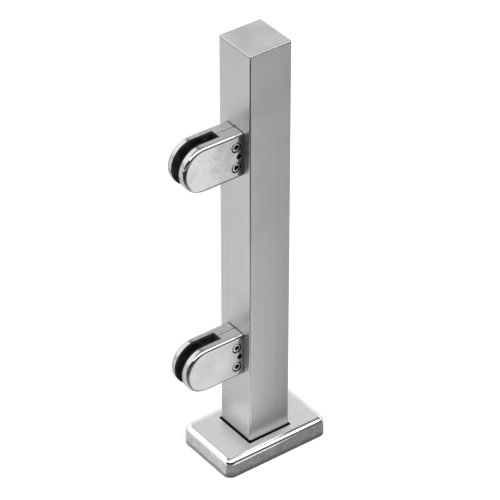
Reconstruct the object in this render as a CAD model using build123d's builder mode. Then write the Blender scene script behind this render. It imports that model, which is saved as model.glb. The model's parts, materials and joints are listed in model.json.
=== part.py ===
"""A square steel railing post that holds glass panels in two screwed clamps.

Millimetres, +Z up. The origin is the centre of the base flange on the floor.
The clamps stand off the -X face of the post, and their front jaws face -Y.
"""

import os

from build123d import *

os.makedirs("parts", exist_ok=True)

# Post tube
post_height = 440.0  # floor to the top of the cap
post_width = 45.0
tube_wall = 2.0
tube_corner = 1.5
tube_inner_corner = 0.8

# Top cap, pushed into the tube
cap_thickness = 2.5
cap_edge = 1.1
cap_seam = 0.3
plug_depth = 12.0
plug_wall = 2.0
plug_clearance = 0.1

# Base flange, welded to the tube and bolted to the floor
flange_length = 111.0
flange_width = 69.0
flange_thickness = 8.0
flange_corner = 5.0
flange_edge = 0.8
anchor_hole = 11.0
anchor_spacing_x = 84.0
anchor_spacing_y = 42.0
weld_leg = 4.0

# Base cover, one pressed sheet that slides on the tube
cover_sheet = 1.5
cover_side_room = 0.5  # flange edge to the inside of the cover
cover_head_room = 10.0  # flange top to the inside of the cover
cover_corner = 8.0
cover_edge = 5.7
cover_gap = 1.7  # around the tube
cover_hole_corner = 1.0

# Glass clamps
lower_clamp_level = 116.0
clamp_spacing = 219.0
clamp_length = 64.0
clamp_height = 46.0
clamp_thickness = 26.0
jaw_edge = 3.5
jaw_back_edge = 0.6
web_depth = 20.0  # post face to the floor of the glass slot
split_gap = 0.6
split_notch = 1.5
glass_thickness = 8.0
gasket_thickness = 1.8
gasket_inset = 0.3
gasket_gap = 0.3

# Two M5 cap screws close each clamp
screw_radius = 2.5
screw_length = 16.0
screw_head_radius = 4.25
screw_head_height = 5.0
screw_socket = 4.0
screw_socket_depth = 2.6
screw_setback = 7.5  # post face to the screws
screw_spacing = 21.0
screw_head_clearance = 1.0
screw_head_recess = 0.3
screw_tap_runout = 1.2

# One M8 low head screw holds each clamp on the post
bolt_radius = 4.0
bolt_length = 30.0
bolt_head_radius = 6.5
bolt_head_height = 5.0
bolt_head_recess = 0.5
bolt_socket = 5.0
bolt_socket_depth = 3.0
bolt_hole_clearance = 0.2

# The clamp body's round lug carries that screw through both halves
lug_radius = 6.5
running_clearance = 0.3
thread_clearance = 0.05

# M5 set screw that stops the clamp turning on the M8 screw
lock_radius = 2.5
lock_length = 5.0
lock_socket = 2.5
lock_socket_depth = 2.2
lock_setback = 4.5  # post face to the set screw

# Threaded insert, countersunk flush into the tube wall
insert_radius = 5.5
insert_head_radius = 6.5
insert_bulge_radius = 7.0
insert_bulge_length = 3.0
insert_length = 17.0

# Worked out from the sizes above
face_x = -post_width / 2
tube_top = post_height - cap_thickness
cover_length = flange_length + 2 * (cover_side_room + cover_sheet)
cover_width = flange_width + 2 * (cover_side_room + cover_sheet)
cover_height = flange_thickness + cover_head_room + cover_sheet
cover_inner_edge = 0.45 * cover_edge
cover_hole = post_width + 2 * cover_gap
clamp_half = clamp_thickness / 2
slot_half = glass_thickness / 2 + gasket_thickness
slot_floor_x = face_x - web_depth
bolt_head_depth = bolt_head_height + bolt_head_recess
bolt_seat_x = slot_floor_x + bolt_head_depth
screw_seat = clamp_half - screw_head_height - screw_head_recess
screw_x = face_x - screw_setback
lock_x = face_x - lock_setback
clamp_levels = {
    "lower": lower_clamp_level,
    "upper": lower_clamp_level + clamp_spacing,
}


def screw(seat, head_radius, head_height, shank_radius, length, flats, socket_depth):
    """A socket head screw whose head stands on the seat plane, along its normal."""
    outward = Axis(seat.origin, seat.z_dir)
    with BuildPart() as fastener:
        with BuildSketch(seat):
            Circle(head_radius)
        extrude(amount=head_height)
        chamfer(fastener.faces().sort_by(outward)[-1].edges(), head_height / 10)
        with BuildSketch(seat):
            Circle(shank_radius)
        extrude(amount=-length)
        with BuildSketch(seat.offset(head_height)):
            RegularPolygon(radius=flats / 2, side_count=6, major_radius=False)
        extrude(amount=-socket_depth, mode=Mode.SUBTRACT)
    return fastener.part


def d_shape(level, straight_end_x, inset):
    """The clamp's side view: straight at the post, half round at the tip."""
    radius = clamp_height / 2 - inset
    centre_x = face_x - clamp_length + clamp_height / 2
    with Locations((centre_x, level)):
        Circle(radius)
    with Locations(((centre_x + straight_end_x) / 2, level)):
        Rectangle(straight_end_x - centre_x, 2 * radius)
    with Locations((straight_end_x + radius, level)):
        Rectangle(2 * radius, 2 * radius, mode=Mode.SUBTRACT)


def half_clamp(level):
    """The +Y half of a clamp before its bores: one jaw and half of the web."""
    with BuildPart() as half:
        with BuildSketch(Plane.XZ.offset(-slot_half)):
            d_shape(level, face_x, 0)
        extrude(amount=slot_half - clamp_half)
        with BuildSketch(Plane.XZ.offset(-split_gap / 2)):
            with Locations((face_x - web_depth / 2, level)):
                Rectangle(web_depth, clamp_height)
        extrude(amount=split_gap / 2 - slot_half)
        outer_face = half.faces().sort_by(Axis.Y)[-1]
        fillet(outer_face.edges().sort_by(Axis.X)[:-1], jaw_edge)
        post_edges = half.edges().filter_by(Axis.Z).group_by(Axis.X)[-1].sort_by(Axis.Y)
        chamfer(post_edges[-1], jaw_back_edge)
        post_edges = half.edges().filter_by(Axis.Z).group_by(Axis.X)[-1].sort_by(Axis.Y)
        chamfer(post_edges[0], split_notch)
    return half.part


def finish(builder, name):
    """Label a finished piece and write it."""
    builder.part.label = name
    export_step(builder.part, f"parts/{name}.step")


# Post tube, with a countersunk hole for each clamp's insert
with BuildPart() as post_tube:
    with BuildSketch(Plane.XY.offset(flange_thickness)):
        RectangleRounded(post_width, post_width, tube_corner)
        bore = post_width - 2 * tube_wall
        RectangleRounded(bore, bore, tube_inner_corner, mode=Mode.SUBTRACT)
    extrude(amount=tube_top - flange_thickness)
    with Locations(Plane.YZ.offset(face_x) * Rotation(0, 180, 0)):
        for level in clamp_levels.values():
            with Locations((0, level)):
                CounterSinkHole(
                    insert_radius + thread_clearance,
                    insert_head_radius + thread_clearance,
                    depth=tube_wall,
                    counter_sink_angle=90,
                )
finish(post_tube, "post_tube")

# Top cap: a plate the size of the tube on a square skirt
with BuildPart() as top_cap:
    with BuildSketch(Plane.XY.offset(tube_top)):
        RectangleRounded(post_width, post_width, tube_corner)
    extrude(amount=cap_thickness)
    chamfer(top_cap.faces().sort_by(Axis.Z)[0].edges(), cap_seam)
    fillet(top_cap.faces().sort_by(Axis.Z)[-1].edges(), min(cap_edge, 0.9 * tube_corner))
    with BuildSketch(Plane.XY.offset(tube_top)):
        plug = post_width - 2 * (tube_wall + plug_clearance)
        RectangleRounded(plug, plug, tube_inner_corner)
        Rectangle(plug - 2 * plug_wall, plug - 2 * plug_wall, mode=Mode.SUBTRACT)
    extrude(amount=-plug_depth)
finish(top_cap, "top_cap")

# Base flange with its anchor holes
with BuildPart() as base_flange:
    with BuildSketch():
        RectangleRounded(flange_length, flange_width, flange_corner)
    extrude(amount=flange_thickness)
    chamfer(base_flange.faces().sort_by(Axis.Z)[-1].edges(), flange_edge)
    with GridLocations(anchor_spacing_x, anchor_spacing_y, 2, 2):
        with Locations((0, 0, flange_thickness)):
            Hole(anchor_hole / 2, flange_thickness)
finish(base_flange, "base_flange")

# Weld fillet between the tube and the flange
with BuildPart() as base_weld:
    with BuildSketch(Plane.XY.offset(flange_thickness)):
        toe = post_width + 2 * weld_leg
        RectangleRounded(toe, toe, tube_corner + weld_leg)
    extrude(amount=weld_leg, taper=45)
    with BuildSketch(Plane.XY.offset(flange_thickness)):
        RectangleRounded(post_width, post_width, tube_corner)
    extrude(amount=weld_leg, mode=Mode.SUBTRACT)
finish(base_weld, "base_weld")

# Base cover: pressed from one sheet, open below, with the post's hole in its top
with BuildPart() as base_cover:
    with BuildSketch():
        RectangleRounded(cover_length, cover_width, cover_corner)
    extrude(amount=cover_height)
    fillet(base_cover.faces().sort_by(Axis.Z)[-1].edges(), min(cover_edge, 0.9 * cover_corner))
    with BuildPart(mode=Mode.SUBTRACT) as hollow:
        with BuildSketch():
            RectangleRounded(
                cover_length - 2 * cover_sheet,
                cover_width - 2 * cover_sheet,
                cover_corner - cover_sheet,
            )
        extrude(amount=cover_height - cover_sheet)
        chamfer(hollow.faces().sort_by(Axis.Z)[-1].edges(), cover_inner_edge)
    with BuildSketch(Plane.XY.offset(cover_height)):
        RectangleRounded(cover_hole, cover_hole, cover_hole_corner)
    extrude(amount=-2 * cover_sheet, mode=Mode.SUBTRACT)
finish(base_cover, "base_cover")

for side, level in clamp_levels.items():
    bolt_axis_plane = Plane.YZ.offset(slot_floor_x)

    # Clamp body: rear jaw and web, with the lug, the bolt hole and two tapped holes
    with BuildPart() as clamp_body:
        add(half_clamp(level))
        with BuildSketch(Plane.YZ.offset(bolt_seat_x)):
            with Locations((0, level)):
                Circle(lug_radius)
        extrude(amount=face_x - bolt_seat_x)
        with BuildSketch(bolt_axis_plane):
            with Locations((0, level)):
                Circle(bolt_radius + bolt_hole_clearance)
        extrude(amount=web_depth, mode=Mode.SUBTRACT)
        with BuildSketch(bolt_axis_plane):
            with Locations((0, level)):
                Circle(bolt_head_radius + running_clearance)
        extrude(amount=bolt_head_depth, mode=Mode.SUBTRACT)
        with BuildSketch(Plane.XZ):
            with Locations((screw_x, level)), GridLocations(0, screw_spacing, 1, 2):
                Circle(screw_radius + thread_clearance)
        extrude(amount=screw_seat - screw_length - screw_tap_runout, mode=Mode.SUBTRACT)
        with BuildSketch(Plane.XZ.offset(lug_radius)):
            with Locations((lock_x, level)):
                Circle(lock_radius + thread_clearance)
        extrude(amount=-lug_radius, mode=Mode.SUBTRACT)
    finish(clamp_body, f"{side}_clamp_body")

    # Front jaw: the other half, with a pocket for the lug and counterbored screw holes
    with BuildPart() as clamp_jaw:
        mirror(half_clamp(level), about=Plane.XZ)
        with BuildSketch(bolt_axis_plane):
            with Locations((0, level)):
                Circle(lug_radius + running_clearance)
        extrude(amount=web_depth, mode=Mode.SUBTRACT)
        with Locations(Plane.XZ.offset(clamp_half)):
            with Locations((screw_x, level)), GridLocations(0, screw_spacing, 1, 2):
                CounterBoreHole(
                    screw_radius + running_clearance,
                    screw_head_radius + screw_head_clearance,
                    screw_head_height + screw_head_recess,
                    depth=clamp_half,
                )
            with Locations((lock_x, level)):
                Hole(lock_radius + running_clearance, clamp_half)
    finish(clamp_jaw, f"{side}_clamp_jaw")

    # Rubber gaskets: a D pad on each jaw with a lip over half of the slot floor
    with BuildPart() as rear_gasket:
        with BuildSketch(Plane.XZ.offset(-slot_half)):
            d_shape(level, slot_floor_x, gasket_inset)
        extrude(amount=gasket_thickness)
        with BuildSketch(Plane.XZ.offset(-slot_half)):
            with Locations((slot_floor_x - gasket_thickness / 2, level)):
                Rectangle(gasket_thickness, clamp_height - 2 * gasket_inset)
        extrude(amount=slot_half - gasket_gap / 2)
    finish(rear_gasket, f"{side}_rear_gasket")
    with BuildPart() as front_gasket:
        mirror(rear_gasket.part, about=Plane.XZ)
    finish(front_gasket, f"{side}_front_gasket")

    # Two cap screws draw the jaw to the body
    for place, rise in (("top", screw_spacing / 2), ("bottom", -screw_spacing / 2)):
        seat = Plane(origin=(screw_x, -screw_seat, level + rise), x_dir=(1, 0, 0), z_dir=(0, -1, 0))
        with BuildPart() as clamp_screw:
            add(
                screw(
                    seat,
                    screw_head_radius,
                    screw_head_height,
                    screw_radius,
                    screw_length,
                    screw_socket,
                    screw_socket_depth,
                )
            )
        finish(clamp_screw, f"{side}_{place}_clamp_screw")

    # Mounting screw through the lug into the insert
    seat = Plane(origin=(bolt_seat_x, 0, level), x_dir=(0, 1, 0), z_dir=(-1, 0, 0))
    with BuildPart() as mounting_screw:
        add(
            screw(
                seat,
                bolt_head_radius,
                bolt_head_height,
                bolt_radius,
                bolt_length,
                bolt_socket,
                bolt_socket_depth,
            )
        )
    finish(mounting_screw, f"{side}_mounting_screw")

    # Set screw in the lug, with its flat point on the mounting screw
    with BuildPart() as lock_screw:
        with BuildSketch(Plane.XZ.offset(bolt_radius + thread_clearance)):
            with Locations((lock_x, level)):
                Circle(lock_radius)
        extrude(amount=lock_length)
        chamfer(lock_screw.faces().sort_by(Axis.Y)[-1].edges(), lock_radius / 5)
        with BuildSketch(Plane.XZ.offset(bolt_radius + thread_clearance + lock_length)):
            with Locations((lock_x, level)):
                RegularPolygon(radius=lock_socket / 2, side_count=6, major_radius=False)
        extrude(amount=-lock_socket_depth, mode=Mode.SUBTRACT)
    finish(lock_screw, f"{side}_lock_screw")

    # Threaded insert: countersunk head, shank, and the bulge that grips the wall
    with BuildPart() as thread_insert:
        with BuildSketch(Plane.XZ):
            with BuildLine():
                bore_z = level + bolt_radius + thread_clearance
                shank_z = level + insert_radius
                wall_x = face_x + tube_wall
                Polyline(
                    (face_x, bore_z),
                    (face_x, level + insert_head_radius),
                    (face_x + insert_head_radius - insert_radius, shank_z),
                    (wall_x, shank_z),
                    (wall_x, level + insert_bulge_radius),
                    (wall_x + insert_bulge_length, shank_z),
                    (face_x + insert_length, shank_z),
                    (face_x + insert_length, bore_z),
                    close=True,
                )
            make_face()
        revolve(axis=Axis((0, 0, level), (1, 0, 0)))
    finish(thread_insert, f"{side}_thread_insert")
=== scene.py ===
# %% [markdown]
# # A glass railing post
# This is a short post of satin stainless steel that holds the edges of glass panels. A
# square tube stands on a bolted flange under a pressed cover, and two cast clamps stand
# out from one face, each with a slot lined with rubber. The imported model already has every
# solid in its true place, so this lesson loads it and adds what a solid can't carry: the
# grain of brushed steel, the polish of the clamps, real threads and a rippled weld.

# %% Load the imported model
import json
import math
import random

import bmesh
import bpy
from mathutils import Matrix, Vector

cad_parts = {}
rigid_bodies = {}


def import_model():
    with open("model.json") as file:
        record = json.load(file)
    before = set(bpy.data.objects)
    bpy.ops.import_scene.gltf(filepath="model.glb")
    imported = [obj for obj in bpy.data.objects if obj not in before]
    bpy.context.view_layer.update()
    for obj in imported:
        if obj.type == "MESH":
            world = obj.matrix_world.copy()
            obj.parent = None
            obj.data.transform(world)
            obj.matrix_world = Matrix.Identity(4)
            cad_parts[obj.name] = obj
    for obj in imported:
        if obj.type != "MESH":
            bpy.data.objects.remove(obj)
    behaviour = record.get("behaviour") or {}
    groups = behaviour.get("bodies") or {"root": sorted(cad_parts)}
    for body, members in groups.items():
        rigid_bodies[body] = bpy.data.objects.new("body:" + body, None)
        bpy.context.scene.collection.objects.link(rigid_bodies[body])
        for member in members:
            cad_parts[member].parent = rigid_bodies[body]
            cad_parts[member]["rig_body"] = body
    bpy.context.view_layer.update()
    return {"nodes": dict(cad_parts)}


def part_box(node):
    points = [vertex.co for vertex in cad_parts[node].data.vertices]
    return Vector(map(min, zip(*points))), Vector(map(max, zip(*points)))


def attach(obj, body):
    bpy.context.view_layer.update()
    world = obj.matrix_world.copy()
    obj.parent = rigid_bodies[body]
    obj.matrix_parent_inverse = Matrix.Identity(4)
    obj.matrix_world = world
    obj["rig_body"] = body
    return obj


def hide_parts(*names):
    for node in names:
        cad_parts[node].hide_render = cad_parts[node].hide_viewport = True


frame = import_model()

# %% [markdown]
# ## The camera
# The photograph looks down on the post past its front edge, from far away with a long
# lens, so the upright edges stay nearly parallel. The camera could be placed by eye, but
# here three angles and a distance do it, worked out from the corners of the tube.

# %% Place the camera
turn_from_back = math.radians(36.72)
look_down = math.radians(35.513)
camera_place = (-1.3049, -1.7418, 1.7695)
lens = 213.89
looks_at = Vector((math.sin(turn_from_back) * math.cos(look_down),
                   math.cos(turn_from_back) * math.cos(look_down),
                   -math.sin(look_down)))
camera_right = Vector((math.cos(turn_from_back), -math.sin(turn_from_back), 0))
camera_up = camera_right.cross(looks_at)
camera = bpy.data.objects.new("camera", bpy.data.cameras.new("camera"))
camera.data.lens = lens
camera.data.sensor_width = 36
camera.data.clip_start = 0.05
camera.data.clip_end = 200
camera.matrix_world = Matrix.Translation(camera_place) @ Matrix(
    (camera_right, camera_up, -looks_at)).transposed().to_4x4()
bpy.context.scene.collection.objects.link(camera)
bpy.context.scene.camera = camera
bpy.context.scene.view_settings.view_transform = "Standard"
print("the camera stands", round(camera.location.length, 2), "m away")

# %% [markdown]
# ## Small helpers for node trees
# Every finish here is a tree of nodes. Writing each one with its links takes many lines,
# so three helpers shorten it: one adds a node and fills its sockets, one starts a node
# group with named sockets, and one places such a group in a material. A value that is
# itself a socket becomes a link.

# %% Add a node, start a group, place a group
def fill(tree, socket, value):
    if isinstance(value, bpy.types.NodeSocket):
        tree.links.new(value, socket)
    else:
        socket.default_value = value


def add_node(tree, kind, inputs=None, **settings):
    node = tree.nodes.new("ShaderNode" + kind)
    node.location = (len(tree.nodes) * 180, (len(tree.nodes) % 4) * -160)
    for name, value in settings.items():
        setattr(node, name, value)
    for name, value in (inputs or {}).items():
        fill(tree, node.inputs[name], value)
    return node


def start_group(name, inputs, outputs):
    tree = bpy.data.node_groups.new(name, "ShaderNodeTree")
    for label, kind, value in inputs:
        socket = tree.interface.new_socket(label, in_out="INPUT", socket_type=kind)
        if value is not None:
            socket.default_value = value
    for label, kind in outputs:
        tree.interface.new_socket(label, in_out="OUTPUT", socket_type=kind)
    given = tree.nodes.new("NodeGroupInput").outputs
    result = tree.nodes.new("NodeGroupOutput").inputs
    return tree, given, result


def add_group(tree, group, inputs):
    return add_node(tree, "Group", inputs, node_tree=group).outputs


FLOAT, VECTOR = "NodeSocketFloat", "NodeSocketVector"
print("node helpers ready")

# %% [markdown]
# ## Helpers for numbers and colours
# A tree also works out its numbers, directions and colours with nodes. Each of these
# helpers gives back the socket that holds the result, so one line can feed the next. The
# one used most, spread, moves a value from one range to another with soft ends, which
# turns a distance or a noise into a mask.

# %% Work with numbers, directions and colours
def maths(tree, operation, first, second):
    return add_node(tree, "Math", {0: first, 1: second}, operation=operation).outputs[0]


def size_of(tree, number):
    return add_node(tree, "Math", {0: number}, operation="ABSOLUTE").outputs[0]


def vector_maths(tree, operation, first, second=None):
    values = {0: first} if second is None else {0: first, 1: second}
    node = add_node(tree, "VectorMath", values, operation=operation)
    gives_number = operation in ("DOT_PRODUCT", "LENGTH")
    return node.outputs["Value" if gives_number else "Vector"]


def part_along(tree, vector, axis):
    return add_node(tree, "SeparateXYZ", {0: vector}).outputs[axis]


def spread(tree, value, low, high, to_low=0.0, to_high=1.0):
    node = add_node(tree, "MapRange", {"Value": value, "From Min": low, "From Max": high,
                                       "To Min": to_low, "To Max": to_high},
                    interpolation_type="SMOOTHSTEP")
    return node.outputs["Result"]


def between(tree, share, first, second):
    return add_node(tree, "Mix", {0: share, 2: first, 3: second}).outputs[0]


def blend(tree, share, first, second):
    node = add_node(tree, "Mix", data_type="RGBA")
    for socket, value in ((node.inputs[0], share), (node.inputs[6], first),
                          (node.inputs[7], second)):
        fill(tree, socket, value)
    return node.outputs[2]


print("number helpers ready")

# %% [markdown]
# ## The floor's paint
# The post stands on a pale studio floor. The photograph's background is pure white, and
# turning the lamps up until the floor burns out would burn the steel out too. So the floor
# stays an ordinary pale paint under ordinary light, and only rays from the camera, mirrors
# and glass see a little white added. Far from the post it turns fully white and so meets
# the white background without a line.

# %% Paint the floor
WHITE = (1, 1, 1, 1)
floor_grey = (0.88, 0.88, 0.88, 1)
added_white = 0.24
white_fade = (0.7, 2.6)
white_level = 1.2


def new_material(name):
    material = bpy.data.materials.new(name)
    material.use_nodes = True
    material.node_tree.nodes.clear()
    return material, material.node_tree


def seen_rays(tree):
    path = add_node(tree, "LightPath")
    both = maths(tree, "MAXIMUM", path.outputs["Is Camera Ray"],
                 path.outputs["Is Glossy Ray"])
    return maths(tree, "MAXIMUM", both, path.outputs["Is Transmission Ray"])


def mix_shaders(tree, share, first, second):
    return add_node(tree, "MixShader", {0: share, 1: first.outputs[0],
                                        2: second.outputs[0]})


def show_surface(tree, shader):
    tree.links.new(shader.outputs[0], add_node(tree, "OutputMaterial").inputs["Surface"])


floor_paint, tree = new_material("pale floor")
place = add_node(tree, "TexCoord").outputs["Object"]
seen = seen_rays(tree)
far = spread(tree, vector_maths(tree, "LENGTH", place), *white_fade)
paint = add_node(tree, "BsdfDiffuse", {"Color": floor_grey})
lift = add_node(tree, "Emission", {
    "Color": WHITE, "Strength": maths(tree, "MULTIPLY", seen, added_white)})
lifted = add_node(tree, "AddShader", {0: paint.outputs[0], 1: lift.outputs[0]})
white = add_node(tree, "Emission", {"Color": WHITE, "Strength": white_level})
show_surface(tree, mix_shaders(tree, maths(tree, "MULTIPLY", far, seen), lifted, white))
print("mixed", floor_paint.name)

# %% [markdown]
# ## The floor
# The floor is one flat square, large enough to reach past the edge of every picture. A
# plane from Blender's menu would do as well, but four corners written out say where it
# lies, and the dark card below can be made the same way.

# %% Lay the floor
def flat_card(name, reach, level, material):
    mesh = bpy.data.meshes.new(name)
    mesh.from_pydata([(-reach, -reach, level), (reach, -reach, level),
                      (reach, reach, level), (-reach, reach, level)], [], [(0, 1, 2, 3)])
    mesh.materials.append(material)
    card = bpy.data.objects.new(name, mesh)
    bpy.context.scene.collection.objects.link(card)
    return card


floor = flat_card("studio_floor", 60, 0.0, floor_paint)
print("floor laid at height", floor.data.vertices[0].co.z)

# %% [markdown]
# ## The room round the post
# Polished steel shows its surroundings more than its own colour, so the room matters as
# much as the finish. A photographer lights such a part with a large soft box overhead, a
# white backdrop behind and a white panel at the left. Real panels would have to be built
# and hidden, so the world plays them. A zone of the room is a range of a ray's height,
# 0 at the horizon and 1 straight up, or of its lean to one side. A range says where the
# zone starts and ends and, unless they are 0 and 1, the values there. Behind the post the
# room has a bright backdrop that is dark low down at the right, then a dark strip and a
# pale ceiling. In front it is dim, and paler only higher up.

# %% Paint the front and the back of the room
to_back = (math.sin(turn_from_back), math.cos(turn_from_back), 0)
front_rise, front_fade = (0.48, 0.60, 0.12, 0.65), (-0.75, -0.5, 0.4, 1.0)
dark_foot, not_right = (0.12, 0.28, 0.2, 1.0), (0.15, 0.35, 1.0, 0.0)
backdrop_to_strip, ceiling_rise = (0.60, 0.66, 1.25, 0.18), (0.90, 0.95, 0.0, 0.65)
front_to_back = (0.0, 0.35)

world = bpy.data.worlds.new("studio room")
bpy.context.scene.world = world
world.use_nodes = True
tree = world.node_tree
tree.nodes.clear()
ray = add_node(tree, "TexCoord").outputs["Generated"]
height = part_along(tree, ray, "Z")
backward = vector_maths(tree, "DOT_PRODUCT", ray, to_back)
front = maths(tree, "MULTIPLY", spread(tree, height, *front_rise),
              spread(tree, backward, *front_fade))
low_right = maths(tree, "MAXIMUM", spread(tree, height, *dark_foot),
                  spread(tree, part_along(tree, ray, "X"), *not_right))
low_back = maths(tree, "MULTIPLY", spread(tree, height, *backdrop_to_strip), low_right)
back = maths(tree, "MAXIMUM", low_back, spread(tree, height, *ceiling_rise))
room = between(tree, spread(tree, backward, *front_to_back), front, back)
print("painted", world.name)

# %% [markdown]
# ## The panel at the left
# The clamps' plates and the tube's left face are brighter than the backdrop alone would
# make them. That is a tall white panel at the left, brighter towards its top. A ray that
# meets it leans to the left, stays under the ceiling and isn't on the camera's side. Rays
# from the camera itself see plain white instead of the room.

# %% Add the panel and finish the world
to_left = (-0.80, 0.60, 0)
panel_side, panel_front = (0.18, 0.34), (-0.6, -0.4)
panel_foot, panel_top = (-0.01, 0.02), (0.78, 0.84, 1.0, 0.0)
panel_rise = (0.10, 0.38, 0.95, 1.6)

leftward = vector_maths(tree, "DOT_PRODUCT", ray, to_left)
panel = maths(tree, "MULTIPLY", spread(tree, leftward, *panel_side),
              spread(tree, height, *panel_top))
panel = maths(tree, "MULTIPLY", panel, spread(tree, height, *panel_foot))
panel = maths(tree, "MULTIPLY", panel, spread(tree, backward, *panel_front))
room = between(tree, panel, room, spread(tree, height, *panel_rise))
camera_ray = add_node(tree, "LightPath").outputs["Is Camera Ray"]
sky = add_node(tree, "Background", {"Color": WHITE,
                                    "Strength": maths(tree, "MAXIMUM", camera_ray, room)})
tree.links.new(sky.outputs[0], add_node(tree, "OutputWorld").inputs["Surface"])
print("panel at the left up to", panel_rise[-1], "times white")

# %% [markdown]
# ## The soft box
# One wide soft box hangs in front and above. It gives the rounded edges of the clamps and
# the cover their long white lines, and a faint shadow. A sun lamp would draw thin lines
# and hard shadows, which the photograph doesn't have.

# %% Hang the soft box
box_place = (-0.05, -0.90, 1.5)
box_size = (2.4, 1.0)
box_power = 28

light = bpy.data.lights.new("overhead_soft_box", "AREA")
light.shape = "RECTANGLE"
light.size, light.size_y = box_size
light.energy = box_power
soft_box = bpy.data.objects.new("overhead_soft_box", light)
soft_box.location = box_place
soft_box.rotation_mode = "QUATERNION"
soft_box.rotation_quaternion = Vector((0, 0, -1)).to_track_quat("-Z", "Y")
soft_box.visible_camera = False
bpy.context.scene.collection.objects.link(soft_box)

# %% [markdown]
# ## A dark card that gives the steel its darker side
# In a studio, steel with light all round it looks flat, so the photographer lays dark
# cards on the table where the camera can't see them but the steel can. One card does it
# here. It shows only in reflections and casts no shadow. In front it darkens outward to
# almost black, so the line down the post's front edge is darkest at the top. On the right
# it is dark too, which gives the tube's two faces their two greys. Behind the post it
# only takes a little off the floor's white, because the tube's left face mirrors that and
# would grow too pale towards its foot. The directions fan out from beside the clamps.

# %% Paint the card in front, on the right and behind
fan_point = (-0.07, -0.045, 0)
to_right = (0.80, 0.60, 0)
front_side, front_tones = (0.34, 0.72), (0.12, 0.55, 0.76, 0.98)
right_edge, right_end, right_tones = (-0.045, -0.015), (-0.75, -0.3), (0.08, 0.5, 0.91, 0.95)
back_side, back_tones = (-0.3, 0.0, 1.0, 0.0), (0.32, 0.58, 0.29, 0.0)
far_side, far_tones = (0.0, 0.3), (0.9, 1.5, 0.0, 0.85)

card_paint, tree = new_material("dark card")
place = add_node(tree, "TexCoord").outputs["Object"]
flat_place = vector_maths(tree, "MULTIPLY", place, (1, 1, 0))
direction = vector_maths(tree, "NORMALIZE",
                         vector_maths(tree, "SUBTRACT", flat_place, fan_point))
to_camera = vector_maths(tree, "DOT_PRODUCT", direction, tuple(-v for v in to_back))
away = vector_maths(tree, "LENGTH", place)
past_edge = vector_maths(tree, "DOT_PRODUCT", place, to_right)
in_front = maths(tree, "MULTIPLY", spread(tree, to_camera, *front_side),
                 spread(tree, away, *front_tones))
on_right = maths(tree, "MULTIPLY", spread(tree, past_edge, *right_edge),
                 spread(tree, to_camera, *right_end))
on_right = maths(tree, "MULTIPLY", on_right, spread(tree, away, *right_tones))
behind = maths(tree, "MULTIPLY", spread(tree, to_camera, *back_side),
               spread(tree, away, *back_tones))
far_front = maths(tree, "MULTIPLY", spread(tree, to_camera, *far_side),
                  spread(tree, away, *far_tones))
darkness = in_front
for zone in (on_right, behind, far_front):
    darkness = maths(tree, "MAXIMUM", darkness, zone)
print("card painted in four zones")

# %% [markdown]
# ## The card close to the cover
# The cover's walls stand so low that they mirror only the nearest few centimetres of the
# floor. The photograph shows its right wall dark and its left wall pale, so the card has a
# zone of its own there, split along the cover's front.

# %% Paint the card round the cover and lay it
cover_half_x, cover_half_y = 0.0575, 0.0365
close_reach = (0.024, 0.034, 1.0, 0.0)
front_to_side = (-0.034, -0.028, 0.74, 0.35)

across = add_node(tree, "SeparateXYZ", {0: vector_maths(tree, "ABSOLUTE", place)}).outputs
off_cover = maths(tree, "MAXIMUM", maths(tree, "SUBTRACT", across["X"], cover_half_x),
                  maths(tree, "SUBTRACT", across["Y"], cover_half_y))
close = spread(tree, off_cover, *close_reach)
close_tone = spread(tree, part_along(tree, place, "Y"), *front_to_side)
darkness = between(tree, close, darkness, close_tone)
clear = add_node(tree, "BsdfTransparent")
black = add_node(tree, "BsdfDiffuse", {"Color": (0.02, 0.02, 0.02, 1)})
show_surface(tree, mix_shaders(tree, darkness, clear, black))
card = flat_card("dark_card", 3.0, 0.0004, card_paint)
card.visible_camera = False
card.visible_diffuse = False
card.visible_shadow = False
card.visible_transmission = False
print("card laid at height", round(card.data.vertices[0].co.z, 4))

# %% [markdown]
# ## Shared effect: brushed grain
# A belt drawn along the tube leaves long, very thin lines with broader bands among them.
# Noise squeezed across the grain and drawn out along it gives both. The group takes the
# place on the surface already stretched, and gives broad bands and fine lines apart, so
# each finish can use more of one or the other.

# %% Build the grain group
grain_group, given, result = start_group(
    "brushed grain",
    [("Place", VECTOR, None), ("Stretch", VECTOR, (700.0, 700.0, 6.0))],
    [("Bands", FLOAT), ("Lines", FLOAT)])
tree = grain_group
drawn = vector_maths(tree, "MULTIPLY", given["Place"], given["Stretch"])
bands = add_node(tree, "TexNoise", {"Vector": drawn, "Scale": 0.45, "Detail": 3.0,
                                    "Roughness": 0.55})
lines = add_node(tree, "TexNoise", {"Vector": drawn, "Scale": 4.0, "Detail": 4.0,
                                    "Roughness": 0.7})
tree.links.new(spread(tree, bands.outputs["Fac"], 0.3, 0.7), result["Bands"])
tree.links.new(spread(tree, lines.outputs["Fac"], 0.25, 0.75), result["Lines"])
print("built", grain_group.name)

# %% [markdown]
# ## Shared effect: handling marks
# Steel that people touch is never evenly clean. Soft patches, a few centimetres wide with
# smeared edges, are slightly duller. Two noises do it: a slow one bends the place that the
# other reads, which smears its patches.

# %% Build the handling group
marks_group, given, result = start_group(
    "handling marks", [("Place", VECTOR, None), ("Patches", FLOAT, 30.0)],
    [("Marks", FLOAT)])
tree = marks_group
bend = add_node(tree, "TexNoise", {"Vector": given["Place"], "Scale": 22.0, "Detail": 2.0})
bent = vector_maths(tree, "MULTIPLY", bend.outputs["Color"], (0.03, 0.03, 0.03))
patches = add_node(tree, "TexNoise", {
    "Vector": vector_maths(tree, "ADD", given["Place"], bent),
    "Scale": given["Patches"], "Detail": 5.0, "Roughness": 0.6})
tree.links.new(spread(tree, patches.outputs["Fac"], 0.42, 0.66), result["Marks"])
print("built", marks_group.name)

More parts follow.
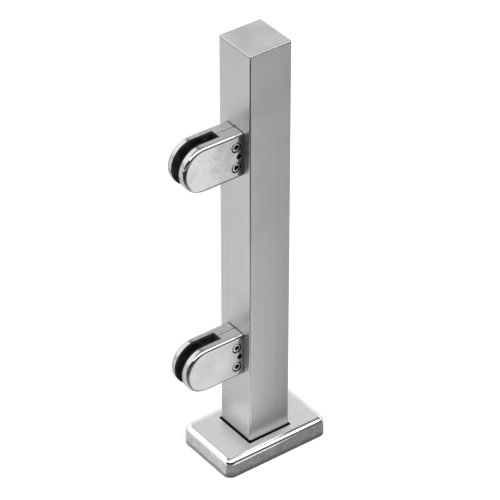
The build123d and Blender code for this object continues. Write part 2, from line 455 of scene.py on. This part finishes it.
# %% [markdown]
# ## Shared effect: fine scratches
# Short hairlines cross polished metal at all angles. Noise drawn out very far in one
# direction gives streaks, and keeping only its peaks leaves thin lines. The group turns
# the place twice, so that two sets of lines cross.

# %% Build the scratch group
scratch_group, given, result = start_group(
    "fine scratches", [("Place", VECTOR, None), ("Amount", FLOAT, 0.5)],
    [("Scratches", FLOAT)])
tree = scratch_group
sets = []
for turned, seed in (((0.4, 0.9, 0.5), 1.0), ((1.1, -0.5, -0.7), 5.0)):
    turn = add_node(tree, "Mapping", {"Vector": given["Place"], "Rotation": turned,
                                      "Location": (seed, seed, seed),
                                      "Scale": (1500.0, 1500.0, 45.0)})
    streaks = add_node(tree, "TexNoise", {"Vector": turn.outputs[0], "Scale": 1.0,
                                          "Detail": 1.0})
    sets.append(spread(tree, streaks.outputs["Fac"], 0.69, 0.78))
both = maths(tree, "MAXIMUM", sets[0], sets[1])
tree.links.new(maths(tree, "MULTIPLY", both, given["Amount"]), result["Scratches"])
print("built", scratch_group.name)

# %% [markdown]
# ## Shared effect: worn edges
# Edges are rounded by polishing and rub brighter in use. The Bevel node gives the normal
# that an edge would have if it were rounded. Where it leans away from the true normal
# there is an edge, and a little noise breaks the line up as real wear does.

# %% Build the edge group
MM = 0.001

edge_group, given, result = start_group(
    "worn edges", [("Place", VECTOR, None), ("Radius", FLOAT, 0.4 * MM)],
    [("Wear", FLOAT), ("Normal", VECTOR)])
tree = edge_group
rounded = add_node(tree, "Bevel", {"Radius": given["Radius"]}, samples=4)
true_normal = add_node(tree, "NewGeometry").outputs["Normal"]
lean = maths(tree, "SUBTRACT", 1.0, vector_maths(tree, "DOT_PRODUCT", true_normal,
                                                 rounded.outputs["Normal"]))
rub = add_node(tree, "TexNoise", {"Vector": given["Place"], "Scale": 350.0, "Detail": 3.0})
wear = maths(tree, "MULTIPLY", spread(tree, lean, 0.004, 0.12),
             spread(tree, rub.outputs["Fac"], 0.3, 0.65, 0.35, 1.0))
tree.links.new(wear, result["Wear"])
tree.links.new(rounded.outputs["Normal"], result["Normal"])
print("built", edge_group.name)

# %% [markdown]
# ## Shared effect: painted shade in crevices
# A slot, a screw's socket and the joint between two parts lie in shade, and this group
# paints that shade into the colour. The Ambient Occlusion node tells how closed in a place
# is: the more of its short rays meet steel, the darker the group paints it.

# %% Build the crevice group
crevice_shade_group, given, result = start_group(
    "painted shade in crevices", [("Reach", FLOAT, 2.0 * MM)], [("Crevice Shade", FLOAT)])
tree = crevice_shade_group
closed_in = add_node(tree, "AmbientOcclusion", {"Distance": given["Reach"]}, samples=8)
tree.links.new(spread(tree, closed_in.outputs["AO"], 0.12, 0.55, 1.0, 0.0),
               result["Crevice Shade"])
print("built", crevice_shade_group.name)

# %% [markdown]
# ## Shared effect: polished rounds
# A belt or a buffing wheel dwells on rounded edges, so they end smoother than the flats
# beside them. Every flat of this post faces along one of the three axes. Where the largest
# part of the surface's direction falls below the value Flat, the steel is rounded.

# %% Build the group of the rounds
rounds_group, given, result = start_group(
    "polished rounds", [("Flat", FLOAT, 0.999)], [("Rounded", FLOAT)])
tree = rounds_group
facing = add_node(tree, "SeparateXYZ", {0: vector_maths(
    tree, "ABSOLUTE", add_node(tree, "NewGeometry").outputs["Normal"])}).outputs
largest = maths(tree, "MAXIMUM", maths(tree, "MAXIMUM", facing["X"], facing["Y"]),
                facing["Z"])
tree.links.new(spread(tree, largest, 0.93, given["Flat"], 1.0, 0.0), result["Rounded"])
print("built", rounds_group.name)

# %% [markdown]
# ## Shared effect: dull tops
# The flat tops of the clamps and the cover look softer than their sides, because dust and
# fingers reach them first. The group looks at how far the surface faces up and gives a
# mask for the flat tops alone.

# %% Build the group of the dull tops
tops_group, given, result = start_group("dull tops", [("Dulling", FLOAT, 0.2)],
                                        [("Roughening", FLOAT)])
tree = tops_group
upward = part_along(tree, add_node(tree, "NewGeometry").outputs["True Normal"], "Z")
tree.links.new(spread(tree, upward, 0.985, 0.9995, 0.0, given["Dulling"]),
               result["Roughening"])
print("built", tops_group.name)

# %% [markdown]
# ## Shared effect: painted shade near the floor
# The group paints shade low down on whatever stands on the floor. It takes the height up
# to which the shade reaches, is full below 0.4 of that and fades out above.

# %% Build the group of the painted shade near the floor
floor_shade_group, given, result = start_group(
    "painted shade near the floor", [("Place", VECTOR, None), ("Top", FLOAT, 50.0 * MM)],
    [("Floor Shade", FLOAT)])
tree = floor_shade_group
full_below = maths(tree, "MULTIPLY", given["Top"], 0.4)
above_floor = part_along(tree, given["Place"], "Z")
tree.links.new(spread(tree, above_floor, full_below, given["Top"], 0.7, 0.0),
               result["Floor Shade"])
print("built", floor_shade_group.name)

# %% [markdown]
# ## Painted shade and marks that only one steel has
# Three effects belong to a single finish each, so they are plain functions and not groups.
# A ring of painted shade darkens the tube where it goes down into the gap in the cover. The
# inside of the clamps' slots is painted black as shade. The cover's drawn walls are painted
# darker as shade, with a mottle from the press and a faint swell.

# %% Draw the ring of shade, the slot's shade and the shaded, mottled walls
# Painted shade: a near-black band on the tube between two heights, in the gap where it goes
# down into the cover.
def ring_of_gap_shade(tree, place, low, high):
    above_floor = part_along(tree, place, "Z")
    return maths(tree, "MULTIPLY", spread(tree, above_floor, low, low + 0.5 * MM),
                 spread(tree, above_floor, high - 0.4 * MM, high, 1.0, 0.0))


# Painted shade: a mask of the inside of a clamp's slot, which is painted near black.
def inside_slot(tree, place, end_x, half_width):
    parts = add_node(tree, "SeparateXYZ", {0: place}).outputs
    past_end = maths(tree, "LESS_THAN", parts["X"], end_x)
    in_width = maths(tree, "LESS_THAN", size_of(tree, parts["Y"]), half_width)
    return maths(tree, "MULTIPLY", past_end, in_width)


# Painted shade and mottle: the walls are painted darker as shade, unevenly like a press
# mottle, and the swell is a bump.
def shaded_mottled_walls(tree, place, strongest):
    upward = part_along(tree, add_node(tree, "NewGeometry").outputs["True Normal"], "Z")
    on_wall = spread(tree, upward, 0.1, 0.55, 1.0, 0.0)
    stain = add_node(tree, "TexNoise", {"Vector": place, "Scale": 260.0, "Detail": 2.0,
                                        "Roughness": 0.5})
    swell = add_node(tree, "TexNoise", {"Vector": place, "Scale": 210.0, "Detail": 2.0})
    shade_and_stain = spread(tree, stain.outputs["Fac"], 0.28, 0.72, 0.12, strongest)
    return (maths(tree, "MULTIPLY", on_wall, shade_and_stain),
            maths(tree, "MULTIPLY", on_wall, swell.outputs["Fac"]))


print("marks ready")

# %% [markdown]
# ## The colour of a steel
# Steel is never one grey. Its grain varies between a lighter and a darker grey, handled
# patches are a little darker, worn edges brighter, and painted shade darkens the crevices.
# The marks of a single finish come last. A picture of steel would do this too, but it would
# stretch over the rounds, while a tree of noises fits every shape.

# %% Mix the colour of a steel
CREVICE_SHADE = (0.03, 0.03, 0.03, 1)
FLOOR_SHADE = (0.24, 0.24, 0.24, 1)
GAP_SHADE = (0.02, 0.02, 0.02, 1)
SLOT_SHADE = (0.01, 0.01, 0.01, 1)
SOILED, RUBBED = 0.9, 1.18  # times the grey of the steel


def steel_colour(tree, place, grain, marks, edges, light, dark, soiling, crevice_reach,
                 floor_shade_top, gap_shade_ring, slot_shade):
    tone = maths(tree, "ADD", maths(tree, "MULTIPLY", grain["Bands"], 0.6),
                 maths(tree, "MULTIPLY", grain["Lines"], 0.4))
    colour = blend(tree, tone, dark + (1,), light + (1,))
    soiled = tuple(v * SOILED for v in dark)
    colour = blend(tree, maths(tree, "MULTIPLY", marks["Marks"], soiling), colour,
                   soiled + (1,))
    bright = tuple(min(0.9, v * RUBBED) for v in light)
    colour = blend(tree, edges["Wear"], colour, bright + (1,))
    # Painted shade: the more closed in a place is, the darker its colour is painted.
    crevice = add_group(tree, crevice_shade_group, {"Reach": crevice_reach})
    colour = blend(tree, crevice["Crevice Shade"], colour, CREVICE_SHADE)
    # Painted shade: the colour darkens towards the floor.
    if floor_shade_top:
        low_shade = add_group(tree, floor_shade_group, {"Place": place, "Top": floor_shade_top})
        colour = blend(tree, low_shade["Floor Shade"], colour, FLOOR_SHADE)
    # Painted shade: a dark ring on the tube in the gap at the cover's top.
    if gap_shade_ring:
        colour = blend(tree, ring_of_gap_shade(tree, place, *gap_shade_ring), colour, GAP_SHADE)
    # Painted shade: the inside of a clamp's slot is painted near black.
    if slot_shade:
        colour = blend(tree, inside_slot(tree, place, *slot_shade), colour, SLOT_SHADE)
    return colour


print("colour ready")

# %% [markdown]
# ## The polish of a steel
# How sharply steel mirrors depends on its last tool. The grain, the handled patches and
# the scratches dull it between the two roughness values, flat tops are duller still, and
# the rounds have a polish of their own.

# %% Mix the roughness of a steel
def steel_roughness(tree, grain, marks, hairs, smooth, rough, dulling, top_dulling,
                    round_rough):
    dulled = maths(tree, "ADD", maths(tree, "MULTIPLY", grain["Lines"], 0.5),
                   maths(tree, "MULTIPLY", marks["Marks"], dulling))
    dulled = maths(tree, "ADD", dulled, maths(tree, "MULTIPLY", hairs["Scratches"], 0.3))
    roughness = spread(tree, dulled, 0.0, 1.1, smooth, rough)
    if top_dulling:
        tops = add_group(tree, tops_group, {"Dulling": top_dulling})
        roughness = maths(tree, "ADD", roughness, tops["Roughening"])
    rounds = add_group(tree, rounds_group, {"Flat": 0.999})
    return between(tree, rounds["Rounded"], roughness, round_rough)


print("polish ready")

# %% [markdown]
# ## One way to make each steel
# The tube, the clamps, the cover and the fasteners are all stainless steel and differ in
# how they were worked. One function builds the tree that they share, and each finish
# below gives it its own grain, polish and marks. The metal itself is a Principled shader
# with plain numbers, and the groups vary its colour, roughness and surface. A belt's grain
# also stretches the highlights across it, which is the shader's Anisotropic value.

# %% Define the steel recipe
WALL_SHADE = (0.16, 0.16, 0.16, 1)


def steel_finish(name, light, dark, smooth, rough, stretch, grain_depth, edge_radius,
                 scratches, grain_pull=0.0, soiling=0.35, dulling=0.5, top_dulling=0.0,
                 round_rough=0.15, crevice_reach=3.0 * MM, floor_shade_top=0.0,
                 gap_shade_ring=None, slot_shade=None, wall_shade_and_mottle=0.0):
    material, tree = new_material(name)
    place = add_node(tree, "TexCoord").outputs["Object"]
    grain = add_group(tree, grain_group, {"Place": place, "Stretch": stretch})
    marks = add_group(tree, marks_group, {"Place": place, "Patches": 30.0})
    hairs = add_group(tree, scratch_group, {"Place": place, "Amount": scratches})
    edges = add_group(tree, edge_group, {"Place": place, "Radius": edge_radius})
    colour = steel_colour(tree, place, grain, marks, edges, light, dark, soiling,
                          crevice_reach, floor_shade_top, gap_shade_ring, slot_shade)
    roughness = steel_roughness(tree, grain, marks, hairs, smooth, rough, dulling,
                                top_dulling, round_rough)
    relief = maths(tree, "SUBTRACT", grain["Lines"], hairs["Scratches"])
    surface = add_node(tree, "Bump", {
        "Strength": grain_depth, "Distance": 0.12 * MM, "Height": relief,
        "Normal": edges["Normal"]}).outputs[0]
    # Painted shade: the cover's walls are darkened unevenly, and a faint swell bends their
    # light.
    if wall_shade_and_mottle:
        shade_and_stain, swell = shaded_mottled_walls(tree, place, wall_shade_and_mottle)
        colour = blend(tree, shade_and_stain, colour, WALL_SHADE)
        surface = add_node(tree, "Bump", {
            "Strength": 0.16, "Distance": 0.5 * MM, "Height": swell,
            "Normal": surface}).outputs[0]
    shader = add_node(tree, "BsdfPrincipled", {
        "Base Color": colour, "Metallic": 1.0, "Roughness": roughness,
        "Normal": surface})
    if grain_pull:
        shader.inputs["Anisotropic"].default_value = grain_pull
        around = add_node(tree, "Tangent", direction_type="RADIAL", axis="Z")
        tree.links.new(around.outputs[0], shader.inputs["Tangent"])
    show_surface(tree, shader)
    return material


print("recipe ready")

# %% [markdown]
# ## The steels that show
# The tube is belt ground from end to end. Its cap is ground across, with softer edges. The
# clamps are cast, tumbled and polished, so they have no grain but a faint unevenness, and
# the inside of their slots is painted black as shade. The cover is pressed from bright
# sheet, with a smooth top, polished rounds and mottled walls painted darker as shade.

# %% Mix the steels that show
tube_steel = steel_finish(
    "satin tube steel", light=(0.645, 0.645, 0.65), dark=(0.60, 0.60, 0.605),
    smooth=0.36, rough=0.50, stretch=(700.0, 700.0, 5.0), grain_depth=0.08,
    edge_radius=0.4 * MM, scratches=0.25, grain_pull=0.6, soiling=0.15, dulling=0.2,
    floor_shade_top=55.0 * MM, gap_shade_ring=(17.5 * MM, 20.8 * MM))
cap_steel = steel_finish(
    "satin cap steel", light=(0.55, 0.55, 0.555), dark=(0.50, 0.50, 0.505),
    smooth=0.28, rough=0.40, stretch=(900.0, 14.0, 900.0), grain_depth=0.10,
    edge_radius=1.4 * MM, scratches=0.3, round_rough=0.32)
clamp_steel = steel_finish(
    "polished cast clamp", light=(0.52, 0.52, 0.525), dark=(0.47, 0.47, 0.475),
    smooth=0.14, rough=0.26, stretch=(160.0, 160.0, 160.0), grain_depth=0.05,
    edge_radius=0.3 * MM, scratches=0.3, top_dulling=0.15, round_rough=0.10,
    slot_shade=(-42.5 * MM, 5.95 * MM))
cover_steel = steel_finish(
    "pressed cover steel", light=(0.86, 0.86, 0.865), dark=(0.81, 0.81, 0.815),
    smooth=0.12, rough=0.22, stretch=(12.0, 500.0, 500.0), grain_depth=0.03,
    edge_radius=0.4 * MM, scratches=0.35, top_dulling=0.2, round_rough=0.10,
    floor_shade_top=6.0 * MM, wall_shade_and_mottle=0.42)
print("steels:", sorted(m.name for m in bpy.data.materials if "steel" in m.name))

# %% [markdown]
# ## The steels of the flange and the screws
# The flange is plain rolled plate that nobody polished, because the cover hides it. The
# screws are turned bars, ground round and round, with clean faces and painted shade in their
# sockets. The sockets are painted near black as shade, and the set screws are blackened all
# over, as steel from a blackening bath is, which also paints the shade of their deep holes.

# %% Mix the steels of the flange and the screws
flange_steel = steel_finish(
    "rolled flange plate", light=(0.50, 0.50, 0.50), dark=(0.40, 0.40, 0.40),
    smooth=0.38, rough=0.55, stretch=(20.0, 260.0, 260.0), grain_depth=0.2,
    edge_radius=0.5 * MM, scratches=0.6)
turned_steel = steel_finish(
    "turned screw steel", light=(0.60, 0.60, 0.60), dark=(0.50, 0.50, 0.50),
    smooth=0.22, rough=0.36, stretch=(300.0, 40.0, 300.0), grain_depth=0.08,
    edge_radius=0.15 * MM, scratches=0.3, crevice_reach=5.0 * MM)
# Near-black steel: it paints the shade in the cap screws' sockets, and blackens the set
# screws all over.
blackened_and_shade_steel = steel_finish(
    "blackened steel and painted socket shade", light=(0.035, 0.035, 0.035), dark=(0.02, 0.02, 0.02),
    smooth=0.35, rough=0.55, stretch=(300.0, 40.0, 300.0), grain_depth=0.08,
    edge_radius=0.15 * MM, scratches=0.3)
print("mixed", flange_steel.name, "and", turned_steel.name, "and", blackened_and_shade_steel.name)

# %% [markdown]
# ## Weld metal
# A weld bead is duller than the plate, with a straw tint of heat along its toes and a blue
# one in patches. Both come from the height above the floor and from the handling marks.

# %% Mix the weld metal
toe_zone = (8.0 * MM, 10.5 * MM)
STRAW, HEAT_BLUE = (0.40, 0.31, 0.20, 1), (0.22, 0.24, 0.32, 1)

weld_metal, tree = new_material("weld bead steel")
place = add_node(tree, "TexCoord").outputs["Object"]
marks = add_group(tree, marks_group, {"Place": place, "Patches": 90.0})
edges = add_group(tree, edge_group, {"Place": place, "Radius": 0.3 * MM})
toe = spread(tree, part_along(tree, place, "Z"), *toe_zone, 1.0, 0.0)
colour = blend(tree, toe, (0.42, 0.41, 0.40, 1), STRAW)
colour = blend(tree, maths(tree, "MULTIPLY", marks["Marks"], 0.5), colour, HEAT_BLUE)
colour = blend(tree, edges["Wear"], colour, (0.6, 0.6, 0.6, 1))
grit = add_node(tree, "TexNoise", {"Vector": place, "Scale": 1600.0, "Detail": 3.0})
bump = add_node(tree, "Bump", {"Strength": 0.3, "Distance": 0.1 * MM,
                               "Height": grit.outputs["Fac"]})
shader = add_node(tree, "BsdfPrincipled", {
    "Base Color": colour, "Metallic": 1.0, "Normal": bump.outputs[0],
    "Roughness": spread(tree, marks["Marks"], 0.0, 1.0, 0.3, 0.5)})
show_surface(tree, shader)
print("mixed", weld_metal.name)

# %% [markdown]
# ## Rubber
# The glass pads are moulded black rubber: nearly black, slightly grey where dust has
# settled, and with fine ribs that grip the glass. The ribs are finer than a picture of
# the post shows, so they are a sine wave along the height, which costs no faces.

# %% Mix the rubber
rib_spacing = 1.6 * MM

pad_rubber, tree = new_material("black pad rubber")
place = add_node(tree, "TexCoord").outputs["Object"]
marks = add_group(tree, marks_group, {"Place": place, "Patches": 120.0})
edges = add_group(tree, edge_group, {"Place": place, "Radius": 0.2 * MM})
colour = blend(tree, marks["Marks"], (0.008, 0.008, 0.009, 1), (0.03, 0.03, 0.03, 1))
colour = blend(tree, maths(tree, "MULTIPLY", edges["Wear"], 0.5), colour,
               (0.08, 0.08, 0.08, 1))
wave = maths(tree, "MULTIPLY", part_along(tree, place, "Z"), math.tau / rib_spacing)
ribs = add_node(tree, "Math", {0: wave}, operation="SINE").outputs[0]
pores = add_node(tree, "TexNoise", {"Vector": place, "Scale": 2500.0, "Detail": 2.0})
relief = maths(tree, "ADD", maths(tree, "MULTIPLY", ribs, 0.5), pores.outputs["Fac"])
bump = add_node(tree, "Bump", {"Strength": 0.5, "Distance": 0.15 * MM, "Height": relief})
shader = add_node(tree, "BsdfPrincipled", {
    "Base Color": colour, "Normal": bump.outputs[0],
    "Roughness": spread(tree, marks["Marks"], 0.0, 1.0, 0.5, 0.72),
    "Specular IOR Level": 0.12})
show_surface(tree, shader)
print("mixed", pad_rubber.name)

# %% [markdown]
# ## Which solid gets which finish
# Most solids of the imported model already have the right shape, so they stay as they are
# and only take a finish. The names of the nodes say what each one is.

# %% Give the solids their finishes
finish_of = {"post_tube": tube_steel, "top_cap": cap_steel, "base_flange": flange_steel,
             "base_weld": weld_metal, "base_cover": cover_steel}
for side in ("lower", "upper"):
    for part in ("clamp_body", "clamp_jaw"):
        finish_of[f"{side}_{part}"] = clamp_steel
    for part in ("rear_gasket", "front_gasket"):
        finish_of[f"{side}_{part}"] = pad_rubber
    for part in ("top_clamp_screw", "bottom_clamp_screw", "mounting_screw", "lock_screw",
                 "thread_insert"):
        finish_of[f"{side}_{part}"] = turned_steel
for name, solid in frame["nodes"].items():
    solid.data.materials.clear()
    solid.data.materials.append(finish_of[name])
print(len(finish_of), "solids finished")

# %% [markdown]
# ## Meshes from corners and faces
# The screws and the weld are too regular to shape by hand and too fine for the packed
# solids, so the script works out their corners itself. One helper turns corners and faces
# into an object. It makes all faces point outward, smooths them, and keeps a sharp edge
# wherever two faces meet at a clear angle.

# %% Make a mesh that shows
def show_mesh(name, corners, faces, material, sharp_angle=32.0):
    mesh = bpy.data.meshes.new(name)
    mesh.from_pydata([tuple(corner) for corner in corners], [], faces)
    mesh.materials.append(material)
    work = bmesh.new()
    work.from_mesh(mesh)
    bmesh.ops.recalc_face_normals(work, faces=work.faces)
    work.to_mesh(mesh)
    work.free()
    mesh.shade_smooth()
    mesh.set_sharp_from_angle(angle=math.radians(sharp_angle))
    piece = bpy.data.objects.new(name, mesh)
    bpy.context.scene.collection.objects.link(piece)
    return piece


print("mesh helper ready")

# %% [markdown]
# ## Turned pieces
# Screws are turned on a lathe, so each is a stack of rings along one line: a point inside
# the socket, the socket's floor, its mouth, the head, the shank and the tip. A plain
# cylinder with a cut would lose the knurl and the thread. Here every ring may have its own
# radius at each angle, so the same rings draw a hexagon, a knurl or a thread. The first
# few rings, which form the socket, may take a second material that paints their shade.

# %% Build a piece from rings
STEPS_ROUND = 96
SOCKET_RINGS = 4


def turned_piece(name, start, along, rings, material, socket_shade_material=None):
    along = Vector(along).normalized()
    side = along.orthogonal().normalized()
    other = along.cross(side)
    angles = [math.tau * i / STEPS_ROUND for i in range(STEPS_ROUND)]
    corners = [start + along * rings[0][0]]
    for depth, radius_at in rings:
        for angle in angles:
            radius = radius_at(angle)
            corners.append(start + along * depth + side * (radius * math.cos(angle))
                           + other * (radius * math.sin(angle)))
    corners.append(start + along * rings[-1][0])
    faces = []
    for i in range(STEPS_ROUND):
        after = (i + 1) % STEPS_ROUND
        faces.append((0, 1 + i, 1 + after))
        for ring in range(len(rings) - 1):
            low, high = 1 + ring * STEPS_ROUND, 1 + (ring + 1) * STEPS_ROUND
            faces.append((low + i, high + i, high + after, low + after))
        last = 1 + (len(rings) - 1) * STEPS_ROUND
        faces.append((last + i, len(corners) - 1, last + after))
    piece = show_mesh(name, corners, faces, material)
    # Painted shade: the faces of the socket take the near-black second material.
    if socket_shade_material:
        piece.data.materials.append(socket_shade_material)
        past_socket = 1 + SOCKET_RINGS * STEPS_ROUND
        for face in piece.data.polygons:
            if all(number < past_socket for number in face.vertices):
                face.material_index = 1
    return piece


print("a ring has", STEPS_ROUND, "steps")

# %% [markdown]
# ## Outlines of a ring
# A ring's outline is a function that gives its radius at each angle. A shank is round. A
# socket is a hexagon, whose radius is half the width across its flats over the cosine of
# the angle from the middle of a flat. A knurled head has small teeth all round.

# %% Define the outlines
def round_ring(radius):
    return lambda angle: radius


def hexagon(flats):
    return lambda angle: flats / 2 / math.cos((angle + math.pi / 6) % (math.pi / 3)
                                              - math.pi / 6)


def knurl(radius, tooth_depth):
    return lambda angle: radius - tooth_depth * abs(math.sin(angle * STEPS_ROUND / 4))


print("a hexagon of 4 mm reaches", round(hexagon(4 * MM)(math.pi / 6) / MM, 2), "mm")

# %% [markdown]
# ## Threads
# A thread is one ridge that climbs round the shank, by one pitch a turn. At each height
# the ridge stands at another angle, so a ring's radius depends on its height and angle
# together. The ridge fades out near the head and at the tip, as a cut thread does.

# %% Draw a threaded shank
DEPTH_IN_PITCHES = 0.55
GROOVE_FLATNESS = 1.15  # above 1 the groove has a flat bottom
RINGS_IN_A_TURN = 8
TIP_CHAMFER = 0.3  # of the pitch


def thread(radius, pitch, depth, fade):
    def radius_at(angle):
        turn = (depth / pitch - angle / math.tau) % 1.0
        groove = min(1.0, max(0.0, GROOVE_FLATNESS * (1 - abs(2 * turn - 1))))
        return radius - fade * DEPTH_IN_PITCHES * pitch * groove
    return radius_at


def threaded_rings(radius, pitch, first, last):
    rings, steps = [], round((last - first) / pitch * RINGS_IN_A_TURN)
    for step in range(steps + 1):
        depth = first + (last - first) * step / steps
        fade = min(1.0, (depth - first) / (1.5 * pitch))
        at_tip = max(0.0, 1 - (last - depth) / pitch)
        rings.append((depth, thread(radius - TIP_CHAMFER * pitch * at_tip, pitch, depth,
                                    fade * (1 - 0.5 * at_tip))))
    return rings


print("thread helpers ready")

# %% [markdown]
# ## The rings of a cap screw
# A socket head cap screw is the same shape in every size, so one list of rings draws them
# all from seven sizes. The rim of the head is chamfered, its side knurled, and a short
# cone joins the head to the shank.

# %% List the rings of a cap screw
TOOTH = 0.16 * MM


def cap_screw_rings(head, head_height, shank, length, flats, socket_depth, pitch):
    rim = 0.08 * head_height
    rings = [(socket_depth + 0.35 * flats, round_ring(0.02 * MM)),
             (socket_depth, hexagon(flats)),
             (0.12 * flats, hexagon(flats)),
             (0.0, round_ring(0.62 * flats)),
             (0.0, round_ring(head - 1.6 * rim)),
             (0.25 * rim, round_ring(head - 0.7 * rim)),
             (rim, round_ring(head)),
             (1.4 * rim, knurl(head, TOOTH)),
             (0.9 * head_height, knurl(head, TOOTH)),
             (0.93 * head_height, round_ring(head)),
             (head_height, round_ring(head - 0.2 * MM)),
             (head_height, round_ring(shank + 0.3 * MM)),
             (head_height + 0.3 * MM, round_ring(shank))]
    return rings + threaded_rings(shank, pitch, head_height + 0.5 * MM,
                                  head_height + length)


print("cap screw ready")

# %% [markdown]
# ## The cap screws
# Two M5 cap screws draw each clamp shut. Their heads sit in round pockets in the front
# jaw, with a dark ring, a bright head and a black hexagon: the sockets are painted near
# black as shade. A larger M8 screw, hidden in the slot, holds each clamp to the tube. Each
# takes its place from the box of the solid that it stands for, and turns with it, if that
# turns.

# %% Turn the six steel screws
CLAMP_SCREW = {"head_height": 5.0 * MM, "shank": 2.5 * MM, "length": 16.0 * MM,
               "flats": 4.0 * MM, "socket_depth": 2.6 * MM, "pitch": 0.8 * MM}
MOUNTING_SCREW = {"head_height": 5.0 * MM, "shank": 4.0 * MM, "length": 30.0 * MM,
                  "flats": 5.0 * MM, "socket_depth": 3.0 * MM, "pitch": 1.25 * MM}


def stand_for(piece, node):
    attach(piece, frame["nodes"][node]["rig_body"])
    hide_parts(node)
    low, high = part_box(node)
    reach = [piece.matrix_world @ Vector(corner) for corner in piece.bound_box]
    proud = max(max(low[i] - corner[i], corner[i] - high[i])
                for corner in reach for i in range(3))
    print(piece.name, len(piece.data.polygons), "faces, proud by", round(proud / MM, 3))


for side in ("lower", "upper"):
    for place in ("top", "bottom"):
        node = f"{side}_{place}_clamp_screw"
        low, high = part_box(node)
        head_top = Vector(((low.x + high.x) / 2, low.y, (low.z + high.z) / 2))
        rings = cap_screw_rings((high.x - low.x) / 2, **CLAMP_SCREW)
        # The sockets take the near-black material, which paints their shade.
        stand_for(turned_piece(node + "_piece", head_top, (0, 1, 0), rings, turned_steel,
                               blackened_and_shade_steel), node)
    node = f"{side}_mounting_screw"
    low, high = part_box(node)
    head_top = Vector((low.x, (low.y + high.y) / 2, (low.z + high.z) / 2))
    rings = cap_screw_rings((high.z - low.z) / 2, **MOUNTING_SCREW)
    stand_for(turned_piece(node + "_piece", head_top, (1, 0, 0), rings, turned_steel,
                           blackened_and_shade_steel), node)

# %% [markdown]
# ## The set screws
# A headless M5 screw sits between the two clamp screws, deep in a black hole, and stops the
# clamp turning on the post. It is all thread, with a small hexagon at its outer end, and is
# blackened all over, which also paints the shade of its deep hole.

# %% Turn the set screws
set_radius, set_pitch = 2.5 * MM, 0.8 * MM
set_flats, set_socket = 2.5 * MM, 2.2 * MM
set_chamfer = 0.5 * MM

for side in ("lower", "upper"):
    node = f"{side}_lock_screw"
    low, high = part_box(node)
    outer_end = Vector(((low.x + high.x) / 2, low.y, (low.z + high.z) / 2))
    rings = [(set_socket + 0.7 * MM, round_ring(0.02 * MM)),
             (set_socket, hexagon(set_flats)),
             (0.2 * MM, hexagon(set_flats)),
             (0.0, round_ring(1.5 * MM)),
             (0.0, round_ring(2.0 * MM)),
             (set_chamfer, round_ring(2.45 * MM))]
    rings += threaded_rings(set_radius, set_pitch, 0.6 * MM, high.y - low.y)
    # The set screw is blackened, which also paints the shade of its hole.
    stand_for(turned_piece(node + "_piece", outer_end, (0, 1, 0), rings, blackened_and_shade_steel),
              node)

# %% [markdown]
# ## The way round the tube
# A bead of weld joins the tube to the flange all round, hidden by the cover until that is
# lifted. The welder follows the tube's outline: four straight sides and four small round
# corners. The helper gives the place on the outline after a certain way along it, and the
# direction that points outward there.

# %% Follow the tube's outline
tube_low, tube_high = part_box("post_tube")
weld_low, weld_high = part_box("base_weld")
half_tube = (tube_high.x - tube_low.x) / 2
leg = weld_high.x - half_tube
tube_corner = 1.5 * MM
flat = half_tube - tube_corner
side_way, corner_way = 2 * flat, tube_corner * math.pi / 2
way_round = 4 * (side_way + corner_way)


def outline_point(way):
    turn, rest = divmod(way, side_way + corner_way)
    if rest < side_way:
        spot, out = Vector((half_tube, rest - flat)), Vector((1, 0))
    else:
        angle = (rest - side_way) / tube_corner
        out = Vector((math.cos(angle), math.sin(angle)))
        spot = Vector((flat, flat)) + out * tube_corner
    rotation = Matrix.Rotation(turn * math.pi / 2, 2)
    return rotation @ spot, rotation @ out


print("the weld is", round(way_round / MM), "mm long with a leg of", round(leg / MM, 1))

# %% [markdown]
# ## The weld bead
# The welder's hand leaves small crescents, one for each drop of metal. The bead is drawn
# as slices along the outline, each a fillet between the tube and the flange whose swell
# rises and falls from drop to drop. Across a slice the crescents lag behind in its middle,
# which bends them. The swell never leaves the fillet's own square, so the bead stays
# inside the solid that it replaces.

# %% Lay the weld bead
SLICES, ARC_STEPS, DROPS = 640, 9, 160
drop_length = 1.35 * MM
crescent_bend = 0.55
least_swell, ripple, ripple_shape = 0.35, 0.28, 0.6
swell_share = 0.7
root_gap = 0.05 * MM

steady = random.Random(7)
drops = [steady.uniform(0.75, 1.1) for _ in range(DROPS)]
corners, faces = [], []
for number in range(SLICES):
    way = way_round * number / SLICES
    spot, out = outline_point(way)
    for step in range(ARC_STEPS + 1):
        share = step / ARC_STEPS
        arch = math.sin(math.pi * share)
        crescent = way / drop_length + crescent_bend * arch
        drop = drops[int(crescent) % DROPS]
        swell = arch * drop * (least_swell + ripple * (crescent % 1.0) ** ripple_shape) * MM
        off = min(leg * share + swell * swell_share, leg)
        up = min(leg * (1 - share) + swell * swell_share, leg)
        corners.append(Vector((*(spot + out * off), weld_low.z + up)))
    corners.append(Vector((*(spot + out * root_gap), weld_low.z)))
loop = ARC_STEPS + 2
for number in range(SLICES):
    here, there = number * loop, (number + 1) % SLICES * loop
    for step in range(loop):
        after = (step + 1) % loop
        faces.append((here + step, there + step, there + after, here + after))
stand_for(show_mesh("weld_bead", corners, faces, weld_metal, 50.0), "base_weld")
